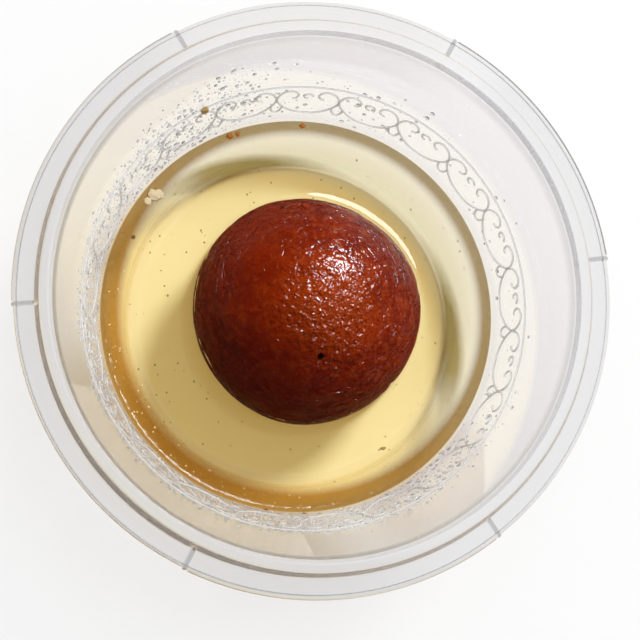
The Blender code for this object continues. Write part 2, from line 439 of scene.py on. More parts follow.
def bead_height(r, z, normal):
    """Height of a grip bead over a point of the skirt, for every angle."""
    height = np.zeros(len(angles))
    if normal[0] < 0.5 or z < SKIRT_BOTTOM or r < SKIRT_RADIUS - 0.5 * MM:
        return height
    up = z - (SKIRT_BOTTOM + BEAD_RADIUS + 0.13 * MM)
    for start, end in zip(bead_ends[::2], bead_ends[1::2]):
        past = np.maximum(0, np.maximum(start - angles, angles - end)) * r
        half_round = np.sqrt(np.clip(BEAD_RADIUS**2 - up**2 - past**2, 0, None))
        height = np.maximum(height, half_round - (BEAD_RADIUS - BEAD_STANDS_OUT))
    return height


rings = []
for (r, z), normal in zip(pot_section, pot_normals):
    if r < 1e-9:
        rings.append(np.array((0.0, 0.0, z)))
        continue
    lift = np.maximum(rib_height(r, z, normal), bead_height(r, z, normal))
    radius = np.minimum(r + lift * normal[0], SKIRT_RADIUS + BEAD_STANDS_OUT)
    rings.append(np.stack([radius * np.cos(angles), radius * np.sin(angles), z + lift * normal[1]], 1))
pot_mesh = skin("pot_shell", rings)

# %% [markdown]
# ## Clear plastic and syrup
#
# Glass-like stuff is a Principled shader with full transmission. Cycles would make the table under
# it dark and speckled, because a lamp can't be found through a bending surface, so shadow rays
# meet a Transparent shader instead: light then passes straight through, a little dimmed. At the
# plastic's edges, where the light meets more of it, it dims more. What lies round the pot and in it
# also shows in the wall as faint shades. They would take many more bounces to come out by
# themselves, so they are laid into the plastic's colour as soft masks of place.

# %% Clear plastic


def clear_material(name, tint, ior, roughness, shadow, edge_shadow, clarity=1.0):
    """Clear stuff that bends what is seen through it and lets lamps through. Less clarity is milkier.

    It gives (material, nodes, links, output, shader, the mix that dims the lamps).
    """
    material, nodes, links, output = new_material(name)
    look = {"Base Color": tint, "Roughness": roughness, "IOR": ior, "Transmission Weight": clarity}
    body = add_node(nodes, "ShaderNodeBsdfPrincipled", look)
    edge = add_node(nodes, "ShaderNodeLayerWeight", {"Blend": 0.35})
    dim = blend(edge.outputs["Facing"], shadow, edge_shadow)
    let_through = add_node(nodes, "ShaderNodeBsdfTransparent", {"Color": dim})
    ray = nodes.new("ShaderNodeLightPath").outputs
    sides = {0: ray["Is Shadow Ray"], 1: body, 2: let_through}
    mix = add_node(nodes, "ShaderNodeMixShader", sides)
    links.new(mix.outputs[0], output.inputs["Surface"])
    return material, nodes, links, output, body, dim.node


clear_plastic, nodes, links, _, body, _ = clear_material(
    "clear plastic", (1.0, 1.0, 1.0), 1.49, 0.0, (0.985, 0.985, 0.985), (0.88, 0.88, 0.885)
)

# %% Shades in the plastic
# The wall's colour carries painted shades and reflections of what stands round the pot and of the
# syrup below, and the thick rim is a little cloudy: rough, and painted greyer. Each rib gets a
# painted darker tick, for the shade of its flanks, which turn the light away.
_, x, y, z = object_place(nodes)
reach = maths("SQRT", maths("MULTIPLY_ADD", x, x, maths("MULTIPLY", y, y)))


def sector(azimuth, half, soft):
    """1 within half an angle of an azimuth, easing to 0 over a soft angle, all in degrees."""
    cosine = maths("DIVIDE", along(x, y, math.radians(azimuth)), reach)
    return ease(cosine, math.cos(math.radians(half + soft)), math.cos(math.radians(half)))


# Painted shades and reflections: the wall is painted greyer high up at the back left, browner over
# the syrup at the front left, and a little darker at the front right up to a leaning edge. The rim
# is painted a little greyer as painted shade, less so at the back.
over_syrup = ease(z, 22.0 * MM, 22.5 * MM)
under_rim = both(over_syrup, ease(z, 52 * MM, 49.5 * MM))
step = ease(sector(60, 41, 33), 0.0, 1.0, 40.0 * MM, 44.7 * MM)
above_step = ease(maths("SUBTRACT", z, step), -0.5 * MM, 0.5 * MM)
tint = blend(both(sector(118, 42, 24), above_step), (1.0, 1.0, 1.0), (0.93, 0.92, 0.915), "MULTIPLY")
tint = blend(both(sector(234, 24, 25), under_rim), tint, (0.71, 0.665, 0.61), "MULTIPLY")
leaning_edge = ease(maths("MULTIPLY_ADD", z, 0.253, x), 43.9 * MM, 43.5 * MM)
lower_right = both(both(sector(307, 12, 12), leaning_edge), under_rim)
tint = blend(lower_right, tint, (0.85, 0.82, 0.82), "MULTIPLY")
on_rim = ease(z, 50.0 * MM, 51.5 * MM)
less_behind = maths("MULTIPLY_ADD", sector(88, 18, 26), -0.9, 1.0)
tint = blend(both(on_rim, less_behind), tint, (0.90, 0.90, 0.91), "MULTIPLY")
# Painted shade: a darker tick on the flanks of each rib
for degrees in RIB_ANGLES:
    beside = maths("ABSOLUTE", along(x, y, math.radians(degrees + 90)))
    beyond_lip = maths("GREATER_THAN", along(x, y, math.radians(degrees)), LEDGE_INNER)
    rib_flank_shade = both(ease(beside, 0.45 * MM, 0.25 * MM), beyond_lip)
    tint = blend(rib_flank_shade, tint, (0.66, 0.66, 0.67), "MULTIPLY")
links.new(tint, body.inputs["Base Color"])
links.new(maths("MULTIPLY", on_rim, 0.24), body.inputs["Roughness"])
print(clear_plastic.name, len(nodes), "nodes")

# %% The pot's piece
pot_shell = make_object("pot_shell", pot_mesh, clear_plastic)
report(pot_shell)
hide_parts("pot")
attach(pot_shell, "root")

# %% [markdown]
# ## The lace band and the drops on the wall
#
# The mould is cut with a band of lace just above the syrup: scallops whose ends curl inwards, a
# small loop under each place where two of them meet, and a line above. The pattern repeats, so
# one scallop is drawn as a few curves and Geometry Nodes rounds it, repeats it and realises it.
# Textures would be cheaper, but real strands catch the light from every side. The drops of
# condensation are scattered by Geometry Nodes too, over a patch of wall that carries how wet each
# place is. Fixed seeds keep them where they are.

# %% Helpers for Geometry Nodes


def new_tree(name, **labels):
    """A Geometry Nodes tree with inputs named by kind: (tree, nodes, links, group input, group output)."""
    tree = bpy.data.node_groups.new(name, "GeometryNodeTree")
    tree.interface.new_socket("Geometry", in_out="INPUT", socket_type="NodeSocketGeometry")
    for kind, names in {**labels, "Material": ["Material"]}.items():
        for label in names:
            tree.interface.new_socket(label, in_out="INPUT", socket_type="NodeSocket" + kind)
    tree.interface.new_socket("Geometry", in_out="OUTPUT", socket_type="NodeSocketGeometry")
    return tree, tree.nodes, tree.links, tree.nodes.new("NodeGroupInput"), tree.nodes.new("NodeGroupOutput")


def realise_and_paint(made, group_in, group_out):
    """End a tree: turn its instances into real mesh, smooth it and give it its material."""
    nodes = made.id_data.nodes
    real = add_node(nodes, "GeometryNodeRealizeInstances", {0: made})
    smooth = add_node(nodes, "GeometryNodeSetShadeSmooth", {0: real})
    inputs = {"Geometry": smooth, "Material": group_in.outputs["Material"]}
    painted = add_node(nodes, "GeometryNodeSetMaterial", inputs)
    made.id_data.links.new(painted.outputs[0], group_out.inputs[0])


def grow(name, source, tree, values):
    """Run a tree on a source object and keep the result as a plain mesh."""
    modifier = source.modifiers.new(name, "NODES")
    modifier.node_group = tree
    sockets = {item.name: item.identifier for item in tree.interface.items_tree if item.in_out == "INPUT"}
    for label, value in values.items():
        modifier[sockets[label]] = value
    grown = source.evaluated_get(bpy.context.evaluated_depsgraph_get())
    mesh = bpy.data.meshes.new_from_object(grown)
    mesh.name = name
    source.modifiers.remove(modifier)
    bpy.data.objects.remove(source)
    piece = make_object(name, mesh)
    report(piece)
    return piece


# %% One scallop of the lace
MOTIFS = 21
MOTIF_PITCH = 2 * math.pi / MOTIFS
MOTIF_MIDDLE = math.radians(54.8)
# Strands as shares of the pitch from the scallop's middle, and heights in mm above the table
HALF_SCALLOP = (
    (0.0, 25.6), (0.16, 25.8), (0.31, 26.9), (0.43, 28.5), (0.495, 30.3), (0.47, 32.0), (0.39, 33.3),
    (0.28, 33.7), (0.19, 33.1), (0.16, 32.0), (0.20, 31.1), (0.26, 31.0),
)  # fmt: skip
LOOP = ((0.40, 28.3), (0.42, 26.9), (0.465, 26.1), (0.53, 26.1), (0.575, 26.9), (0.59, 28.3))
INNER_CURL = ((-0.075, 31.9), (-0.03, 32.6), (0.04, 32.6), (0.08, 31.9), (0.05, 31.2), (0.0, 31.1))


def on_wall(share, height):
    """A point on the inner wall of the pot for a share of the pitch and a height in mm."""
    angle, r = MOTIF_MIDDLE + share * MOTIF_PITCH, wall_radius(height * MM)
    return (r * math.cos(angle), r * math.sin(angle), height * MM)


def curve_object(name, strands):
    """A curve object with one poly line for each strand of points."""
    curve = bpy.data.curves.new(name, "CURVE")
    curve.dimensions = "3D"
    for strand in strands:
        line = curve.splines.new("POLY")
        line.points.add(len(strand) - 1)
        for point, place in zip(line.points, strand):
            point.co = (*place, 1)
    return make_object(name, curve)


scallop = HALF_SCALLOP[:0:-1]
scallop = [(-u, h) for u, h in scallop] + list(HALF_SCALLOP)
strands = [[on_wall(u, h) for u, h in strand] for strand in (scallop, LOOP, INNER_CURL)]
motif = curve_object("motif", strands)
print("scallop", sum(len(strand) for strand in strands), "points,", MOTIFS, "times round")

# %% Repeat the scallop round the wall
tree, nodes, links, group_in, group_out = new_tree(
    "lace band", Int=["Count"], Float=["Pitch", "Strand Radius", "Spacing", "Line Radius", "Line Height"]
)
given = group_in.outputs
smooth = add_node(nodes, "GeometryNodeCurveSplineType", {0: given["Geometry"]}, spline_type="CATMULL_ROM")
stops = {"Curve": smooth, "Length": given["Spacing"]}
resample = add_node(nodes, "GeometryNodeResampleCurve", stops, mode="LENGTH")
thickness = {"Resolution": 6, "Radius": given["Strand Radius"]}
profile = add_node(nodes, "GeometryNodeCurvePrimitiveCircle", thickness)
strand = {"Curve": resample, "Profile Curve": profile, "Fill Caps": True}
tube = add_node(nodes, "GeometryNodeCurveToMesh", strand)
places = add_node(nodes, "GeometryNodePoints", {"Count": given["Count"]})
index = nodes.new("GeometryNodeInputIndex")
turn = maths("MULTIPLY", index.outputs[0], given["Pitch"])
angles_out = add_node(nodes, "ShaderNodeCombineXYZ", {"Z": turn})
copies = {"Points": places, "Instance": tube, "Rotation": angles_out}
repeat = add_node(nodes, "GeometryNodeInstanceOnPoints", copies)
line = {"Resolution": 360, "Radius": given["Line Radius"]}
circle_line = add_node(nodes, "GeometryNodeCurvePrimitiveCircle", line)
lift_by = add_node(nodes, "ShaderNodeCombineXYZ", {"Z": given["Line Height"]})
lift = add_node(nodes, "GeometryNodeTransform", {"Geometry": circle_line, "Translation": lift_by})
line_tube = add_node(nodes, "GeometryNodeCurveToMesh", {"Curve": lift, "Profile Curve": profile})
joined = nodes.new("GeometryNodeJoinGeometry")
links.new(repeat.outputs[0], joined.inputs[0])
links.new(line_tube.outputs[0], joined.inputs[0])
realise_and_paint(joined.outputs[0], group_in, group_out)

lace_plastic, *_ = clear_material(
    "lace plastic", (0.95, 0.95, 0.95), 1.16, 0.12, (0.985, 0.985, 0.985), (0.92, 0.92, 0.92), 0.62
)
LINE_HEIGHT = 35.3 * MM
lace = grow(
    "lace_band",
    motif,
    tree,
    {
        "Count": MOTIFS,
        "Pitch": MOTIF_PITCH,
        "Strand Radius": 0.24 * MM,
        "Spacing": 0.5 * MM,
        "Line Radius": wall_radius(LINE_HEIGHT),
        "Line Height": LINE_HEIGHT,
        "Material": lace_plastic,
    },
)
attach(lace, "root")

# %% How wet each place of the wall is


def bell(value, middle, width):
    """1 at the middle, falling smoothly to 0 a little beyond the width."""
    away = (value - middle + 180) % 360 - 180
    return math.exp(-((away / width) ** 4))


def wetness(degrees, height):
    """Shares of drops and of mist on the wall, for an angle in degrees and a height in mm."""
    top = 39.5 + 5.0 * math.exp(-(((degrees - 108) / 26) ** 2)) if 80 < degrees < 146 else 38.5
    below_top = 1 / (1 + math.exp((height - top) * 2.2))
    band = 1 / (1 + math.exp((height - 37.0) * 1.3))
    drops = (
        1.0 * bell(degrees, 124, 20) * below_top
        + 0.30 * bell(degrees, 82, 24) * below_top
        + 0.16 * bell(degrees, 45, 26) * math.exp(-(((height - 36.5) / 2.5) ** 2))
        + 0.08 * bell(degrees, 15, 30) * band
        + 0.45 * bell(degrees, 318, 16) * below_top
        + 0.25 * bell(degrees, 200, 60) * band
    )
    mist = (
        0.55 * bell(degrees, 170, 32) * band
        + 1.0 * bell(degrees, 240, 46) * band
        + 0.7 * bell(degrees, 292, 20) * band
        + 0.25 * bell(degrees, 124, 24) * below_top
    )
    return drops, mist


def patch(name, rows, turns, at):
    """A grid round the pot that carries how wet each point is, with a ring of points for each row.

    at(row, angle) gives a point's distance from the middle, its height and how wet it is.
    """
    places, wet = [], []
    for row in rows:
        for angle in (2 * math.pi * i / turns for i in range(turns)):
            r, z, share = at(row, angle)
            places.append((r * math.cos(angle), r * math.sin(angle), z))
            wet.append(share)
    faces = [
        (j * turns + i, (j + 1) * turns + i, (j + 1) * turns + (i + 1) % turns, j * turns + (i + 1) % turns)
        for j in range(len(rows) - 1)
        for i in range(turns)
    ]
    mesh = bpy.data.meshes.new(name)
    mesh.from_pydata(places, [], faces)
    mesh.attributes.new("wet", "FLOAT", "POINT").data.foreach_set("value", wet)
    return make_object(name, mesh)


def wet_patch(which):
    """The inner wall above the syrup, with its share of drops (0) or of mist (1)."""

    def at(height, angle):
        """A point on the wall and how wet it is."""
        share = wetness(math.degrees(angle), height)[which]
        return wall_radius(height * MM) - 0.06 * MM, height * MM, share

    return patch("wet_wall", np.linspace(23.0, 46.0, 24), 180, at)


# %% A tree that scatters drops
tree, nodes, links, group_in, group_out = new_tree(
    "scattered drops",
    Float=["Density", "Smallest", "Largest", "Rarity", "Flatness"],
    Int=["Segments", "Rings", "Seed"],
)
given = group_in.outputs
wet = add_node(nodes, "GeometryNodeInputNamedAttribute", {"Name": "wet"}, data_type="FLOAT")
amount = maths("MULTIPLY", given["Density"], wet.outputs["Attribute"])
drops = {"Mesh": given["Geometry"], "Density": amount, "Seed": given["Seed"]}
scattered = add_node(nodes, "GeometryNodeDistributePointsOnFaces", drops)
chance = add_node(nodes, "FunctionNodeRandomValue", {"Seed": given["Seed"]})
rare = maths("POWER", chance.outputs[1], given["Rarity"])
size = ease(rare, 0.0, 1.0, given["Smallest"], given["Largest"], "LINEAR")
stretch = add_node(nodes, "FunctionNodeRandomValue", {2: 0.75, 3: 1.3})
sides = {"X": 1.0, "Y": stretch.outputs[1], "Z": given["Flatness"]}
flat = add_node(nodes, "ShaderNodeCombineXYZ", sides)
scaled = add_node(nodes, "ShaderNodeVectorMath", {0: flat, "Scale": size}, operation="SCALE")
ball = {"Segments": given["Segments"], "Rings": given["Rings"]}
bead = add_node(nodes, "GeometryNodeMeshUVSphere", ball)
copies = {"Points": scattered, "Instance": bead, "Rotation": scattered.outputs["Rotation"], "Scale": scaled}
repeat = add_node(nodes, "GeometryNodeInstanceOnPoints", copies)
realise_and_paint(repeat.outputs[0], group_in, group_out)
drop_tree = tree


def scatter(name, source, material, density, smallest, largest, rarity, flatness, segments, rings, seed):
    """Grow drops on a patch that carries how wet it is. The smallest and the largest are in mm."""
    values = {
        "Density": density,
        "Smallest": smallest * MM,
        "Largest": largest * MM,
        "Rarity": rarity,
        "Flatness": flatness,
        "Segments": segments,
        "Rings": rings,
        "Seed": seed,
        "Material": material,
    }
    return grow(name, source, drop_tree, values)


# %% Drops and mist on the wall
drop_water, *_ = clear_material(
    "condensed water", (0.97, 0.97, 0.97), 1.26, 0.0, (0.97, 0.97, 0.97), (0.75, 0.75, 0.76), 0.80
)
wall_drops = [
    scatter("wall_drops", wet_patch(0), drop_water, 0.55e6, 0.10, 0.55, 3.0, 0.60, 14, 8, seed=4),
    scatter("wall_mist", wet_patch(1), drop_water, 2.4e6, 0.07, 0.34, 2.2, 0.55, 8, 4, seed=9),
]
for drops in wall_drops:
    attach(drops, "root")

# %% [markdown]
# ## The dumpling
#
# A gulab jamun is rolled between the palms and fried, so it is nearly round, with a few broad
# swellings, and its skin is deep red brown, finely wrinkled and wet with syrup. A sculpted sphere
# with poles would pinch its wrinkles, so the ball starts as a cube whose faces are spread evenly
# over a sphere. The wrinkles are pressed inwards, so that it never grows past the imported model.

# %% The ball's shape
DUMPLING_RADIUS = 22.5 * MM
DUMPLING_OFFSET = (1.6 * MM, 0.7 * MM)
FLAT_SPOT = 0.3 * MM
GAP = 0.3 * MM
DUMPLING_CENTRE = np.array((*DUMPLING_OFFSET, FLOOR_TOP + GAP + DUMPLING_RADIUS - FLAT_SPOT))
# Azimuth and elevation in degrees, width in degrees, and height as a share of the radius
DUMPLING_LUMPS = (
    (148, 15, 42, 0.022),
    (258, 5, 30, 0.018),
    (60, 12, 36, -0.040),
    (282, 20, 14, -0.018),
    (5, -20, 40, 0.012),
    (330, 62, 16, -0.014),
    (200, 55, 26, 0.010),
)


def direction(azimuth, elevation):
    """Unit vector for an azimuth and an elevation in degrees."""
    a, e = math.radians(azimuth), math.radians(elevation)
    return np.array((math.cos(a) * math.cos(e), math.sin(a) * math.cos(e), math.sin(e)))


def ball_radius(directions):
    """Distance from the ball's centre to its skin along unit directions."""
    swell = np.zeros(len(directions))
    for azimuth, elevation, width, height in DUMPLING_LUMPS:
        away = np.arccos(np.clip(directions @ direction(azimuth, elevation), -1, 1)) / math.radians(width)
        swell += height * np.exp(-away * away)
    return DUMPLING_RADIUS * (1 + swell)


def even_sphere(cells):
    """Unit directions and quads of a cube spread over a sphere, cells to each of its edges."""
    line = np.tan(np.linspace(-math.pi / 4, math.pi / 4, cells + 1))
    a, b = np.meshgrid(line, line, indexing="ij")
    one = np.ones_like(a)
    sides = [(one, a, b), (-one, b, a), (b, one, a), (a, -one, b), (a, b, one), (b, a, -one)]
    points = np.concatenate([np.stack(side, -1).reshape(-1, 3) for side in sides])
    points /= np.linalg.norm(points, axis=1)[:, None]
    _, first, same = np.unique(points.round(7), axis=0, return_index=True, return_inverse=True)
    corner = np.arange((cells + 1) ** 2).reshape(cells + 1, cells + 1)
    quad = np.stack([corner[:-1, :-1], corner[1:, :-1], corner[1:, 1:], corner[:-1, 1:]], -1).reshape(-1, 4)
    quads = np.concatenate([quad + side * (cells + 1) ** 2 for side in range(6)])
    return points[first], same.reshape(-1)[quads]


directions, quads = even_sphere(126)
print("ball", len(directions), "points")

# %% Wrinkles, pores, a pit and a crease, pressed into the skin
ROUGHEST = direction(320, 74)
PIT = direction(270, 59)
CREASE = [direction(294 - 16 * t, 52 - 9 * t - 2.5 * math.sin(math.pi * t)) for t in np.linspace(0, 1, 12)]


def folds(point, seed):
    """Ridged noise: 1 along a net of fold lines, falling to 0 between them."""
    return max(0.0, 1 - abs(noise.noise(point + Vector((seed, 2 * seed, 3 * seed)))) * 2.2)


def wrinkle_depth(point, way):
    """How deep the skin is pressed in at a point on the ball, in metres."""
    p = Vector(point) / MM
    broad = noise.noise(p * 0.13 + Vector((3, 1, 7)))
    sway = Vector([noise.noise(p * 0.45 + Vector((seed, 2, 4))) for seed in (0, 9, 5)])
    q = p + sway * 0.8
    rough = 0.22 + math.exp(-(math.acos(max(-1, min(1, way @ ROUGHEST))) / math.radians(32)) ** 2)
    rough *= 0.75 + 0.8 * noise.noise(p * 0.3 + Vector((1, 6, 2)))
    low = 1 - min(1, max(0, (way[2] - 0.55) / 0.3))
    lying = Vector((q.x * 0.13, q.y * 0.13, q.z * 0.48))
    return (
        0.20 * rough * folds(q * 0.55, 1.0) ** 2
        + 0.17 * rough * folds(q * 1.0, 2.0) ** 2
        + 0.32 * low * folds(lying, 3.0) ** 2
        + 0.012 * (noise.noise(p * 2.4) + 0.8)
        + 0.14 * max(0, -broad)
    ) * MM


def near(way, width):
    """1 at a direction and 0 further away than about this many degrees."""
    away = np.arccos(np.clip(directions @ way, -1, 1)) / math.radians(width)
    return np.exp(-away * away)


radius = ball_radius(directions)
points = directions * radius[:, None]
depth = np.array([wrinkle_depth(p, way) for p, way in zip(points, directions)])
# No wrinkle goes deeper than the syrup reaches into the ball, or air would show in it
depth = np.minimum(depth, 0.42 * MM)
depth += near(PIT, 1.5) * 0.9 * MM + near(PIT, 4.0) * 0.25 * MM
depth += np.max([near(way, 1.3) for way in CREASE], axis=0) * 0.40 * MM
points = directions * (radius - depth)[:, None]
points[:, 2] = np.maximum(points[:, 2], FLAT_SPOT - DUMPLING_RADIUS)
points += DUMPLING_CENTRE
ball_mesh = smooth_mesh("dumpling_skin", points.tolist(), quads.tolist())

# %% Fried, syrup-soaked skin
fried_skin, nodes, links, output = new_material("fried skin")
look = {"Specular IOR Level": 0.0, "Roughness": 0.34, "IOR": 1.4, "Coat Roughness": 0.155, "Coat IOR": 1.38}
skin_shader = add_node(nodes, "ShaderNodeBsdfPrincipled", look)
place = nodes.new("ShaderNodeTexCoord").outputs["Object"]


def noise_on_skin(seed, stretch, **look):
    """A noise pattern on the ball, moved by a seed and squeezed upwards by the stretch."""
    move = {"Vector": place, "Location": (seed, seed * 2, seed * 3), "Scale": (1, 1, stretch)}
    moved = add_node(nodes, "ShaderNodeMapping", move)
    return add_node(nodes, "ShaderNodeTexNoise", {"Vector": moved, **look}).outputs["Fac"]


def mottle(scale, detail, low, high, seed):
    """A soft mask of blotches, from 0 to 1."""
    return ease(noise_on_skin(seed, 1, Scale=scale, Detail=detail), low, high, way="LINEAR")


def creases(scale, stretch, width, seed):
    """A mask of fine fold lines, which lie along the ball's sides."""
    lines = noise_on_skin(seed, stretch, Scale=scale, Detail=1.5, Distortion=0.5)
    return ease(maths("ABSOLUTE", maths("SUBTRACT", lines, 0.5)), width, 0.0)


def near_place(middle, inner, outer):
    """A mask that is 1 within the inner distance of a place and 0 beyond the outer one."""
    gap = add_node(nodes, "ShaderNodeVectorMath", {0: place, 1: tuple(middle)}, operation="DISTANCE")
    return ease(gap.outputs["Value"], outer, inner)


def near_way(way, inner, outer):
    """A mask round the place on the skin in a direction from the ball's centre. Distances in mm."""
    return near_place(DUMPLING_CENTRE + way * DUMPLING_RADIUS, inner * MM, outer * MM)


def lay(mask, share, colour, under):
    """A share of a colour laid over another where a mask says."""
    return blend(maths("MULTIPLY", mask, share), under, colour)


deep_red = (0.140, 0.0075, 0.0006)
red_brown = (0.240, 0.0180, 0.0010)
orange_brown = (0.350, 0.047, 0.0035)
shade_dark_red = (0.060, 0.0024, 0.0006)
pit_shade = (0.008, 0.002, 0.001)
# Blotches first, then the top painted lighter where the lamps fall on it, painted shade in the
# folds, painted shade on the sides away from the lamps, and a darker patch at the upper left
base = blend(mottle(150, 4, 0.36, 0.64, 1.3), deep_red, red_brown)
base = lay(mottle(700, 4, 0.48, 0.74, 0.4), 0.75, orange_brown, base)
# Painted light: the top is lighter where the lamps fall on it
base = lay(near_way(direction(300, 84), 2, 15), 0.62, orange_brown, base)
base = blend(mottle(1500, 3, 0.56, 0.70, 2.1), base, deep_red)
sides = ease(near_way(direction(0, 90), 13, 25), 1.0, 0.0, 0.25)
wrinkles = both(creases(260, 2.4, 0.045, 0.7), sides)
fine_wrinkles = both(creases(620, 1.6, 0.055, 1.9), sides)
# Painted shade darkens the folds on the sides
base = lay(wrinkles, 0.55, shade_dark_red, base)
base = lay(fine_wrinkles, 0.40, shade_dark_red, base)
# Painted shade darkens the side away from the lamps
base = lay(near_way(direction(238, 12), 8, 34), 0.82, shade_dark_red, base)
base = lay(near_way(direction(142, 38), 5, 17), 0.45, deep_red, base)
# Painted shade darkens the bottom of the pit
pit_floor = DUMPLING_CENTRE + PIT * (ball_radius(PIT[None, :])[0] - 1.0 * MM)
base = blend(near_place(pit_floor, 0.55 * MM, 0.95 * MM), base, pit_shade)
links.new(base, skin_shader.inputs["Base Color"])
# The skin is roughest at the front of its top, and smooth where the highlight sits
roughest = maths("MULTIPLY_ADD", near_way(ROUGHEST, 8, 19), 0.72, 0.28)
roughest = maths("MULTIPLY_ADD", near_way(direction(285, 60), 4, 13), 0.45, roughest)
relief = both(mottle(900, 1.5, 0.25, 0.75, 0.9), roughest)
relief = maths("MULTIPLY_ADD", wrinkles, -0.75, relief)
relief = maths("MULTIPLY_ADD", fine_wrinkles, -0.30, relief)
polished = near_way(direction(55, 70), 1.0, 5.0)
relief = both(relief, maths("MULTIPLY_ADD", polished, -0.65, 1.0))
bump = add_node(nodes, "ShaderNodeBump", {"Strength": 1.0, "Distance": 0.40 * MM, "Height": relief})
edge_shine = maths("MULTIPLY_ADD", near_way(direction(48, 12), 8, 19), 0.45, 0.20)
links.new(edge_shine, skin_shader.inputs["Coat Weight"])
for side in ("Normal", "Coat Normal"):
    links.new(bump.outputs[0], skin_shader.inputs[side])
links.new(skin_shader.outputs[0], output.inputs["Surface"])
print(fried_skin.name, len(nodes), "nodes")

dumpling = make_object("dumpling", ball_mesh, fried_skin)
report(dumpling)
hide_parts("gulab_jamun")
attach(dumpling, "root")

# %% [markdown]
# ## The syrup
#
# Thin sugar syrup fills the pot a little over a third. It climbs the wall and the dumpling by
# about a millimetre, which is what makes a liquid's edge read as liquid. Its skin is walked as
# rings from the bottom of the hollow where the dumpling sits, up to the waterline, across the
# surface, down the wall and in to the middle of the floor. It reaches a little into the plastic
# and into the dumpling, so that no air shows between them.

# %% The syrup's skin
SYRUP_LEVEL = 21.0 * MM
INTO_PLASTIC = 0.12 * MM
INTO_DUMPLING = 0.50 * MM
WALL_CLIMB = 1.2 * MM
WALL_REACH = 0.38 * MM
BALL_CLIMB = 1.2 * MM
BALL_REACH = 0.8 * MM
around = np.linspace(0, 2 * math.pi, 241)[:-1]
circle = np.stack([np.cos(around), np.sin(around)], 1)


def ball_ring(elevation):
    """A ring of the hollow for the dumpling, at an elevation in degrees from its centre."""
    e = math.radians(elevation)
    turned = np.column_stack([circle * math.cos(e), np.full(len(circle), math.sin(e))])
    ring = turned * (ball_radius(turned) - INTO_DUMPLING)[:, None]
    ring[:, 2] = np.maximum(ring[:, 2], FLAT_SPOT - DUMPLING_RADIUS + 0.15 * MM)
    return ring + DUMPLING_CENTRE


def surface_ring(share, inner, outer):
    """A ring of the surface between the dumpling and the wall, raised at both by the climb."""
    ring = inner * (1 - share) + outer * share
    from_ball = np.linalg.norm((ring - inner)[:, :2], axis=1)
    from_wall = np.linalg.norm((outer - ring)[:, :2], axis=1)
    ring[:, 2] = (
        SYRUP_LEVEL
        + WALL_CLIMB * np.exp(-from_wall / WALL_REACH)
        + BALL_CLIMB * np.exp(-np.maximum(from_ball - INTO_DUMPLING, 0) / BALL_REACH)
    )
    return ring


climb_top = SYRUP_LEVEL + BALL_CLIMB
top_elevation = math.degrees(math.asin((climb_top - DUMPLING_CENTRE[2]) / DUMPLING_RADIUS))
bottom = DUMPLING_CENTRE + np.array((0, 0, FLAT_SPOT - DUMPLING_RADIUS + 0.15 * MM))
rings = [bottom] + [ball_ring(e) for e in np.linspace(-87, top_elevation, 30)]
inner = rings[-1].copy()
inner[:, 2] = SYRUP_LEVEL
wall_edge = wall_radius(SYRUP_LEVEL + WALL_CLIMB) + INTO_PLASTIC
outer = np.column_stack([circle * wall_edge, np.full(len(circle), SYRUP_LEVEL)])
shares = (1 - np.cos(np.linspace(0, math.pi, 61))) / 2
rings += [surface_ring(s, inner, outer) for s in shares[1:]]
floor_edge = FLOOR_TOP - INTO_PLASTIC
syrup_section = rounded(
    [
        (wall_edge, SYRUP_LEVEL + WALL_CLIMB, 0),
        (wall_radius(floor_edge) + INTO_PLASTIC / math.cos(WALL_TAPER), floor_edge, CORNER + INTO_PLASTIC),
        (0, floor_edge, 0),
    ],
    math.radians(6),
)
syrup_section = divided(syrup_section, 0.1 * MM, lambda a, b: 4 * MM)
for r, z in syrup_section[1:-1]:
    rings.append(np.column_stack([circle * r, np.full(len(circle), z)]))
rings.append(np.array((0.0, 0.0, floor_edge)))
syrup_mesh = skin("syrup_body", rings)

# %% Thin sugar syrup
# The side of the syrup lets the table show through, as it does where it wets the plastic.
# A lamp's light that leaves through the side has come a long way through syrup, so it is dimmed.
# Its masks are worked out from the height, the distance from the middle, and how far a place faces
# the lamps: 1 on their side of the pot and -1 on the far side. The colours laid on the side and on
# the climbing edge are painted light and shade.
SIDE_SHADOW = (0.20, 0.13, 0.05)
SHADOW_BAND_RISE = 17.0 * MM
RING_FAR = 35.8 * MM
RING_NEAR = 37.4 * MM
sugar_syrup, nodes, links, output, body, shadow_mix = clear_material(
    "sugar syrup", (1.0, 1.0, 1.0), 1.42, 0.0, SIDE_SHADOW, (1.0, 1.0, 1.0)
)


def syrup_ramp(value, *stops):
    """A colour for a value from -1 to 1, eased between stops that are spread evenly."""
    ramp = nodes.new("ShaderNodeValToRGB")
    ramp.color_ramp.interpolation = "EASE"
    while len(ramp.color_ramp.elements) < len(stops):
        ramp.color_ramp.elements.new(0.5)
    for i, colour in enumerate(stops):
        ramp.color_ramp.elements[i].position = i / (len(stops) - 1)
        ramp.color_ramp.elements[i].color = (*colour, 1)
    links.new(ease(value, -1.0, 1.0, way="LINEAR"), ramp.inputs[0])
    return ramp.outputs[0]


geometry = nodes.new("ShaderNodeNewGeometry")
upright = add_node(nodes, "ShaderNodeSeparateXYZ", {0: geometry.outputs["True Normal"]})
place, x, y, z = object_place(nodes)
reach = maths("SQRT", maths("ADD", maths("POWER", x, 2.0), maths("POWER", y, 2.0)))
facing_lamp = maths("DIVIDE", along(x, y, LAMP_AZIMUTH), reach)
tilt = maths("ABSOLUTE", upright.outputs["Z"])
corner = both(maths("LESS_THAN", tilt, 0.97), maths("LESS_THAN", z, 6.0 * MM))
side = maths("MAXIMUM", maths("LESS_THAN", tilt, 0.45), corner)
side = both(maths("GREATER_THAN", reach, 27.0 * MM), side)
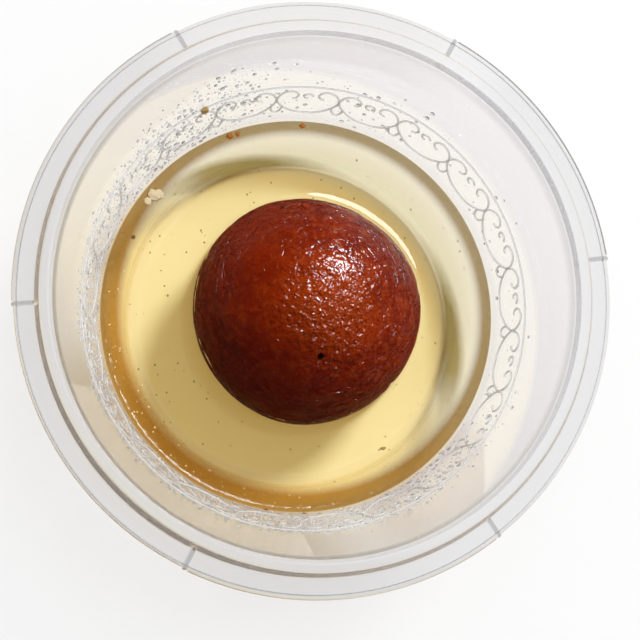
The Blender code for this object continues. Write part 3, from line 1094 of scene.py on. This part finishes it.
# Where the surface climbs the wall it is painted brown, painted light and shade for light that has
# come through much more syrup: amber on the far side from the lamps and darker on their side
ring_start = ease(facing_lamp, -0.65, 0.4, RING_FAR, RING_NEAR, "LINEAR")
climb = ease(maths("SUBTRACT", reach, ring_start), -1.5 * MM, 1.0 * MM)
climb = both(climb, maths("GREATER_THAN", tilt, 0.45))
climb = both(climb, maths("GREATER_THAN", z, SYRUP_LEVEL - 0.01 * MM))
links.new(maths("MULTIPLY_ADD", side, -0.42, 1.42), body.inputs["IOR"])
# Painted shade: the side is amber on the far side from the lamps and pale on their side
side_painted_shade = syrup_ramp(
    facing_lamp, (0.74, 0.52, 0.20), (0.88, 0.74, 0.42), (1, 0.98, 0.88), (1, 0.98, 0.88)
)
edge_painted_shade = syrup_ramp(
    facing_lamp, (0.50, 0.235, 0.040), (0.28, 0.12, 0.020), (0.19, 0.10, 0.024), (0.20, 0.13, 0.05)
)
# A painted olive shadow lies in a band on the side that faces the lamps, with a grainy upper edge
grain = add_node(nodes, "ShaderNodeTexWhiteNoise", {"Vector": place})
shadow_band_top = maths("MULTIPLY_ADD", facing_lamp, -SHADOW_BAND_RISE, SHADOW_BAND_RISE + 1.5 * MM)
low = maths("LESS_THAN", maths("MULTIPLY_ADD", grain.outputs["Value"], 4.5 * MM, z), shadow_band_top)
shadow_band_bottom = ease(facing_lamp, 0.45, 0.0, -5.0 * MM, 9.0 * MM)
over_bottom = ease(maths("SUBTRACT", z, shadow_band_bottom), -2.5 * MM, 2.5 * MM)
low = both(low, over_bottom)
shadow_band_share = ease(facing_lamp, -0.18, 0.35, way="LINEAR")
side_painted_shade = blend(both(low, shadow_band_share), side_painted_shade, (0.18, 0.12, 0.024))
# The painted shade sets in sooner on the curve of the corner on the side of the lamps
slow_start = ease(tilt, 1.0, 0.40)
quick_start = ease(tilt, 0.99, 0.86)
lamp_facing_part = ease(facing_lamp, 0.05, 0.5)
steepness = maths("SUBTRACT", quick_start, slow_start)
steepness = maths("MULTIPLY_ADD", steepness, lamp_facing_part, slow_start)
base = blend(both(side, steepness), (1.0, 1.0, 1.0), side_painted_shade)
links.new(blend(climb, base, edge_painted_shade), body.inputs["Base Color"])
ripple = add_node(nodes, "ShaderNodeTexNoise", {"Scale": 520, "Detail": 2.0, "Vector": place})
height = maths("MULTIPLY", ripple.outputs["Fac"], climb)
broken = add_node(nodes, "ShaderNodeBump", {"Distance": 0.18 * MM, "Height": height})
links.new(broken.outputs[0], body.inputs["Normal"])
# The line of light along the far edge is broken up by duller spots
dull = ease(ripple.outputs["Fac"], 0.42, 0.54, 0.0, 0.20)
at_wall = ease(reach, 37.9 * MM, 38.7 * MM)
links.new(both(dull, both(at_wall, climb)), body.inputs["Roughness"])
# Lamps are dimmed only where their light leaves through the side that faces them
level_part = ease(tilt, 0.35, 0.75, way="LINEAR")
far_part = ease(facing_lamp, 0.25, -0.05, way="LINEAR")
clear_part = maths("MAXIMUM", level_part, far_part)
links.new(clear_part, shadow_mix.inputs[0])
soak = add_node(nodes, "ShaderNodeVolumeAbsorption", {"Color": (0.946, 0.833, 0.11, 1), "Density": 20})
links.new(soak.outputs[0], output.inputs["Volume"])
print(sugar_syrup.name, len(nodes), "nodes")
syrup_body = make_object("syrup_body", syrup_mesh, sugar_syrup)
report(syrup_body)
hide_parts("syrup")
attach(syrup_body, "root")

# %% [markdown]
# ## Crumbs, flakes and bubbles
#
# A few crumbs of the fried skin float against the wall, one has dried on it, and a pale flake of
# milk solids lies at the syrup's edge. Each is a small sphere pushed about by noise. Tiny bubbles
# and specks in the syrup's skin are scattered with the same tree as the drops.

# %% Crumbs and flakes


def crumb_material(name, colour):
    """A plain, slightly wet colour for a crumb."""
    material, nodes, links, output = new_material(name)
    shader = add_node(nodes, "ShaderNodeBsdfPrincipled", {"Base Color": colour, "Roughness": 0.35})
    links.new(shader.outputs[0], output.inputs["Surface"])
    return material


def crumb_points(place, size, seed):
    """Points of a lumpy little blob with these half sizes, and its faces."""
    ways, faces = even_sphere(7)
    bumps = [1 + 0.55 * noise.noise(Vector(way) * 1.6 + Vector((seed, 3, 8))) for way in ways]
    return ways * np.array(bumps)[:, None] * np.array(size) * MM + np.array(place) * MM, faces


top = SYRUP_LEVEL / MM
wall_118 = np.array((math.cos(math.radians(118)), math.sin(math.radians(118)))) * wall_radius(35 * MM) / MM
crumbs = (
    ("orange crumb", (0.50, 0.17, 0.022), [
        ((-14.2, 36.2, top + 0.2), (0.75, 0.6, 0.4), 1),
        ((-12.6, 36.7, top + 0.3), (0.45, 0.5, 0.3), 2),
        ((0.7, 38.8, top + 0.5), (0.55, 0.5, 0.35), 3),
    ]),
    ("brown crumb", (0.20, 0.085, 0.020), [
        ((-33.4, 15.0, top), (0.40, 0.35, 0.25), 4),
        ((-6.7, -39.4, top + 1.0), (0.55, 0.3, 0.3), 5),
        ((0.8, -40.2, top + 1.6), (0.75, 0.32, 0.3), 6),
    ]),
    ("cream flake", (0.74, 0.60, 0.38), [
        ((-29.0, 23.8, top), (1.5, 1.1, 0.22), 7),
        ((-30.6, 22.4, top), (0.7, 0.8, 0.2), 8),
    ]),
    ("tan crumb", (0.45, 0.29, 0.09), [
        ((17.2, -27.0, top), (0.55, 0.32, 0.2), 9),
        ((*(wall_118 * 0.994), 35.0), (0.75, 0.65, 1.2), 10),
    ]),
)  # fmt: skip
for name, colour, blobs in crumbs:
    places, faces, total = [], [], 0
    for blob in blobs:
        blob_places, blob_faces = crumb_points(*blob)
        places.append(blob_places)
        faces += (blob_faces + total).tolist()
        total += len(blob_places)
    mesh = smooth_mesh(name, np.concatenate(places).tolist(), faces)
    piece = make_object(name.replace(" ", "_"), mesh, crumb_material(name, colour))
    report(piece)
    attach(piece, "root")

# %% Specks and bubbles in the syrup's skin


def speck_patch(crowded):
    """The syrup's surface, with how many specks float where: everywhere, or crowded at the edge."""

    def at(r, angle):
        """A point on the surface and how many specks float there."""
        climb = WALL_CLIMB * math.exp(-(wall_edge - r * MM) / WALL_REACH)
        edge = 1 / (1 + math.exp((36.0 - r) * 1.5))
        share = edge * bell(math.degrees(angle), 225, 50) if crowded else 1.0
        return r * MM, SYRUP_LEVEL + climb - 0.03 * MM, share

    return patch("speck_patch", np.linspace(23.5, 39.0, 16), 120, at)


for name, crowded, density, smallest, largest, colour, seed in (
    ("syrup_specks", False, 0.060e6, 0.07, 0.21, (0.30, 0.21, 0.08), 3),
    ("edge_specks", True, 0.30e6, 0.08, 0.22, (0.85, 0.68, 0.34), 5),
):
    paint = crumb_material(name.replace("_", " "), colour)
    specks = scatter(name, speck_patch(crowded), paint, density, smallest, largest, 1.5, 0.7, 10, 5, seed)
    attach(specks, "root")

# %% What the reflection lamps shine on
for lamp, name, lit in (
    (glint_lamp, "glinting", (lace, *wall_drops, syrup_body)),
    (shine_lamp, "shone_on", (dumpling,)),
    (halo_lamp, "haloed", (syrup_body,)),
):
    lamp.light_linking.receiver_collection = bpy.data.collections.new(name)
    for piece in lit:
        lamp.light_linking.receiver_collection.objects.link(piece)
    print(lamp.name, "shines on", [piece.name for piece in lit])
